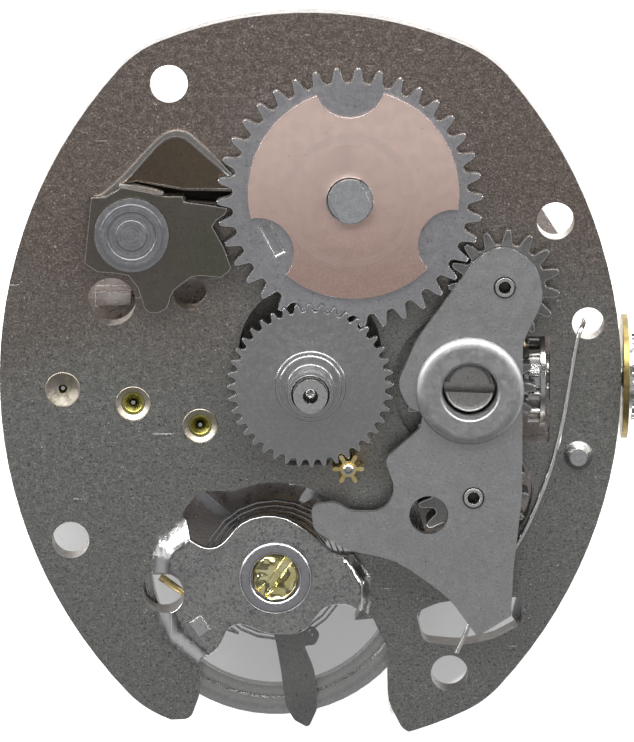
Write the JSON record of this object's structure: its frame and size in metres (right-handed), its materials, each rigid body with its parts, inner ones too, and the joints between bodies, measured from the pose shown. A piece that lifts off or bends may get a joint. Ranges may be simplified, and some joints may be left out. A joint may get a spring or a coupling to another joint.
{
  "type": "watch movement",
  "caption": "Small tonneau pin-lever wrist-watch movement, dial side, with rocking-bar winding, ratchet and click, motion work, going train, balance and crown stem that turn and slide.",
  "frame": {"origin": "hand axis at the dial face of the main plate", "axes": "+Z out of the dial towards the viewer, +Y towards 12 o'clock, +X towards the crown at 3 o'clock"},
  "size_m": [0.0167, 0.018, 0.0059],
  "materials": {
    "nickel_dark": "speckled nickel",
    "nickel_back": "matt nickel",
    "steel": "satin steel",
    "blue_steel": "blue-grey steel",
    "bright": "bright turned steel",
    "rim": "grey plated",
    "brass": "turned brass",
    "copper": "rose copper"
  },
  "bodies": {
    "frame": {"main_plate": "nickel_dark", "train_bushes": "brass", "centre_tube": "brass", "back_plate": "nickel_back", "pillars": "steel", "back_plate_screws": "blue_steel", "back_bushes": "brass", "balance_cock": "nickel_back", "balance_cock_screw": "blue_steel", "setting_lever_stud": "bright", "bar_collar": "bright", "bar_screw": "blue_steel", "bar_spring": "bright", "click_stud": "bright", "click_spring": "nickel_back", "fork_post": "bright", "hairspring": "blue_steel", "hairspring_stud": "rim", "taper_pin": "brass", "bearing_ring": "bright", "balance_screw_dial": "brass", "balance_screw_back": "brass"},
    "winding_pinion": {"winding_pinion": "steel"},
    "stem": {"winding_stem": "steel", "crown": "bright", "crown_washer": "brass"},
    "setting_lever": {"setting_lever": "steel"},
    "rocking_bar": {"rocking_bar": "steel", "bar_posts": "bright"},
    "crown_wheel": {"crown_wheel": "steel"},
    "transmission_wheel": {"transmission_wheel": "steel"},
    "setting_wheel": {"setting_wheel": "steel"},
    "ratchet": {"ratchet_wheel": "blue_steel", "ratchet_spring_washer": "copper", "barrel_arbor": "bright"},
    "click": {"click": "steel"},
    "barrel": {"barrel_drum": "brass", "barrel_cover": "brass", "mainspring": "blue_steel"},
    "centre": {"centre_pinion": "steel", "centre_wheel": "brass"},
    "third": {"third_pinion": "steel", "third_wheel": "brass"},
    "fourth": {"fourth_pinion": "steel", "fourth_wheel": "brass"},
    "escape": {"escape_pinion": "steel", "escape_wheel": "steel"},
    "pallet": {"pallet_fork": "steel", "pallet_pins": "bright"},
    "balance": {"balance_wheel": "rim", "balance_staff": "steel", "roller": "brass", "impulse_pin": "bright", "hairspring_collet": "brass"},
    "regulator": {"regulator": "rim", "curb_pins": "bright"},
    "cannon": {"cannon_pinion": "bright"},
    "minute": {"minute_wheel": "bright", "minute_pinion": "brass"},
    "hour": {"hour_wheel": "blue_steel"}
  },
  "joints": [
    {"name": "wind_spin", "type": "hinge", "parent": "frame", "child": "winding_pinion", "pos_m": [0.0055, -0.0001, -0.0012], "axis": [1, 0, 0], "continuous": true},
    {"name": "stem_pull", "type": "slide", "parent": "winding_pinion", "child": "stem", "axis": [1, 0, 0], "range_m": [0, 0.00045]},
    {"name": "lever_swing", "type": "hinge", "parent": "frame", "child": "setting_lever", "pos_m": [0.0066, -0.00187, 0], "axis": [0, 0, 1], "range_deg": [-14.6, 0.1]},
    {"name": "bar_swing", "type": "hinge", "parent": "frame", "child": "rocking_bar", "pos_m": [0.00391, -0.0001, 0], "axis": [0, 0, 1], "range_deg": [-10.5, 0.1]},
    {"name": "crown_wheel_spin", "type": "hinge", "parent": "rocking_bar", "child": "crown_wheel", "pos_m": [0.00391, -0.0001, 0], "axis": [0, 0, 1], "continuous": true},
    {"name": "transmission_spin", "type": "hinge", "parent": "rocking_bar", "child": "transmission_wheel", "pos_m": [0.00475, 0.00246, 0], "axis": [0, 0, 1], "continuous": true},
    {"name": "setting_spin", "type": "hinge", "parent": "rocking_bar", "child": "setting_wheel", "pos_m": [0.00401, -0.00279, 0], "axis": [0, 0, 1], "continuous": true},
    {"name": "ratchet_spin", "type": "hinge", "parent": "frame", "child": "ratchet", "pos_m": [0.00096, 0.00457, 0], "axis": [0, 0, 1], "continuous": true},
    {"name": "click_swing", "type": "hinge", "parent": "frame", "child": "click", "pos_m": [-0.00437, 0.00371, 0], "axis": [0, 0, 1], "range_deg": [-1.5, 5]},
    {"name": "escape_spin", "type": "hinge", "parent": "frame", "child": "escape", "pos_m": [-0.0061, -0.00022, 0], "axis": [0, 0, 1], "continuous": true},
    {"name": "fourth_spin", "type": "hinge", "parent": "frame", "child": "fourth", "pos_m": [-0.00437, -0.00058, 0], "axis": [0, 0, 1], "continuous": true},
    {"name": "third_spin", "type": "hinge", "parent": "frame", "child": "third", "pos_m": [-0.00272, -0.00114, 0], "axis": [0, 0, 1], "continuous": true},
    {"name": "centre_spin", "type": "hinge", "parent": "frame", "child": "centre", "pos_m": [0, 0, 0], "axis": [0, 0, 1], "continuous": true},
    {"name": "barrel_spin", "type": "hinge", "parent": "frame", "child": "barrel", "pos_m": [0.00096, 0.00457, 0], "axis": [0, 0, 1], "continuous": true},
    {"name": "pallet_swing", "type": "hinge", "parent": "frame", "child": "pallet", "pos_m": [-0.00479, -0.00139, 0], "axis": [0, 0, 1], "range_deg": [-5, 5]},
    {"name": "balance_swing", "type": "hinge", "parent": "frame", "child": "balance", "pos_m": [-0.00087, -0.00485, 0], "axis": [0, 0, 1], "range_deg": [-220, 220]},
    {"name": "regulator_turn", "type": "hinge", "parent": "frame", "child": "regulator", "pos_m": [-0.00087, -0.00485, 0], "axis": [0, 0, 1], "range_deg": [-15, 15]},
    {"name": "cannon_spin", "type": "hinge", "parent": "frame", "child": "cannon", "pos_m": [0, 0, 0], "axis": [0, 0, 1], "continuous": true},
    {"name": "minute_spin", "type": "hinge", "parent": "frame", "child": "minute", "pos_m": [0.00093, -0.00207, 0], "axis": [0, 0, 1], "continuous": true},
    {"name": "hour_spin", "type": "hinge", "parent": "frame", "child": "hour", "pos_m": [0, 0, 0], "axis": [0, 0, 1], "continuous": true}
  ],
  "couplings": [
    {"joint": "lever_swing", "follows": "stem_pull", "rad_per_m": -562.38},
    {"joint": "bar_swing", "follows": "stem_pull", "rad_per_m": -403.37},
    {"joint": "crown_wheel_spin", "follows": "wind_spin", "ratio": -0.77778},
    {"joint": "transmission_spin", "follows": "wind_spin", "ratio": 0.93333},
    {"joint": "setting_spin", "follows": "wind_spin", "ratio": 0.93333},
    {"joint": "ratchet_spin", "follows": "wind_spin", "ratio": -0.36842},
    {"joint": "fourth_spin", "follows": "escape_spin", "ratio": -0.1},
    {"joint": "third_spin", "follows": "escape_spin", "ratio": 0.013333},
    {"joint": "centre_spin", "follows": "escape_spin", "ratio": -0.0016667},
    {"joint": "barrel_spin", "follows": "escape_spin", "ratio": 0.00020833},
    {"joint": "minute_spin", "follows": "cannon_spin", "ratio": -0.55556},
    {"joint": "hour_spin", "follows": "cannon_spin", "ratio": 0.083333}
  ]
}
